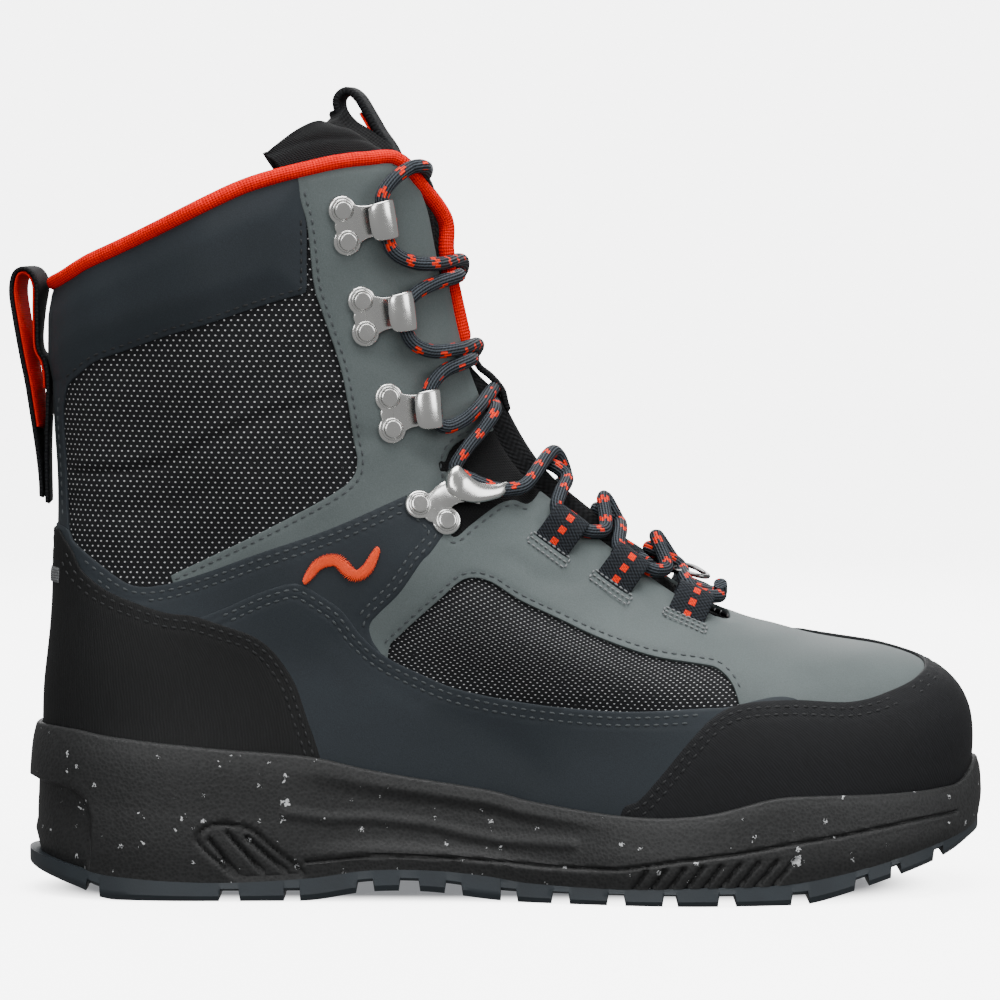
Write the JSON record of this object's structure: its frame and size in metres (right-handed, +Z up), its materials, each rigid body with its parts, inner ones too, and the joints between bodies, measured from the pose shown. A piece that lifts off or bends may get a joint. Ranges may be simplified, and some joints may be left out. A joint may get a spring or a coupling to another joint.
{
  "type": "wading boot",
  "caption": "Tall laced wading boot for the right foot, with a hollow layered upper, padded tongue, hooked lacing, foam midsole and lugged rubber outsole.",
  "frame": {"origin": "on the floor under the heel, on the flat face of a heel lug", "axes": "+X towards the toe, +Z up, -Y towards the outer side of this right boot"},
  "size_m": [0.3239, 0.1184, 0.2728],
  "materials": {
    "outsole": "smooth moulded rubber",
    "midsole": "grained foam with scattered pale flakes",
    "insole": "matt knitted cover",
    "upper": "woven with pale dots",
    "tongue": "matt padded textile",
    "guard": "matt nubuck-like synthetic",
    "cap": "finely ribbed abrasion cloth",
    "facing": "matt nubuck-like synthetic",
    "binding": "knitted edge tape",
    "webbing": "woven webbing",
    "metal": "satin",
    "lace": "round braid with flecks"
  },
  "bodies": {
    "root": {"outsole": "outsole", "midsole": "midsole", "insole": "insole", "upper": "upper", "tongue": "tongue", "toe_cap": "cap", "heel_counter": "cap", "mudguard_lateral": "guard", "mudguard_medial": "guard", "side_band_lateral": "guard", "side_band_medial": "guard", "shaft_facing_lateral": "facing", "shaft_facing_medial": "facing", "vamp_facing": "facing", "collar_cuff": "guard", "back_stay": "guard", "collar_binding": "binding", "back_pull_loop": "webbing", "tongue_pull_loop": "webbing", "tongue_keeper": "webbing", "hook_lateral_1": "metal", "hook_lateral_2": "metal", "hook_lateral_3": "metal", "hook_medial_1": "metal", "hook_medial_2": "metal", "hook_medial_3": "metal", "lace_lock_lateral": "metal", "lace_lock_medial": "metal", "web_loop_lateral_1": "webbing", "web_loop_lateral_2": "webbing", "web_loop_lateral_3": "webbing", "web_loop_medial_1": "webbing", "web_loop_medial_2": "webbing", "web_loop_medial_3": "webbing", "lace_crossing_1": "lace", "lace_crossing_2": "lace", "lace_crossing_3": "lace", "lace_crossing_4": "lace", "lace_crossing_5": "lace", "lace_crossing_6": "lace", "lace_bar_top": "lace", "lace_bar_toe": "lace"}
  },
  "joints": []
}
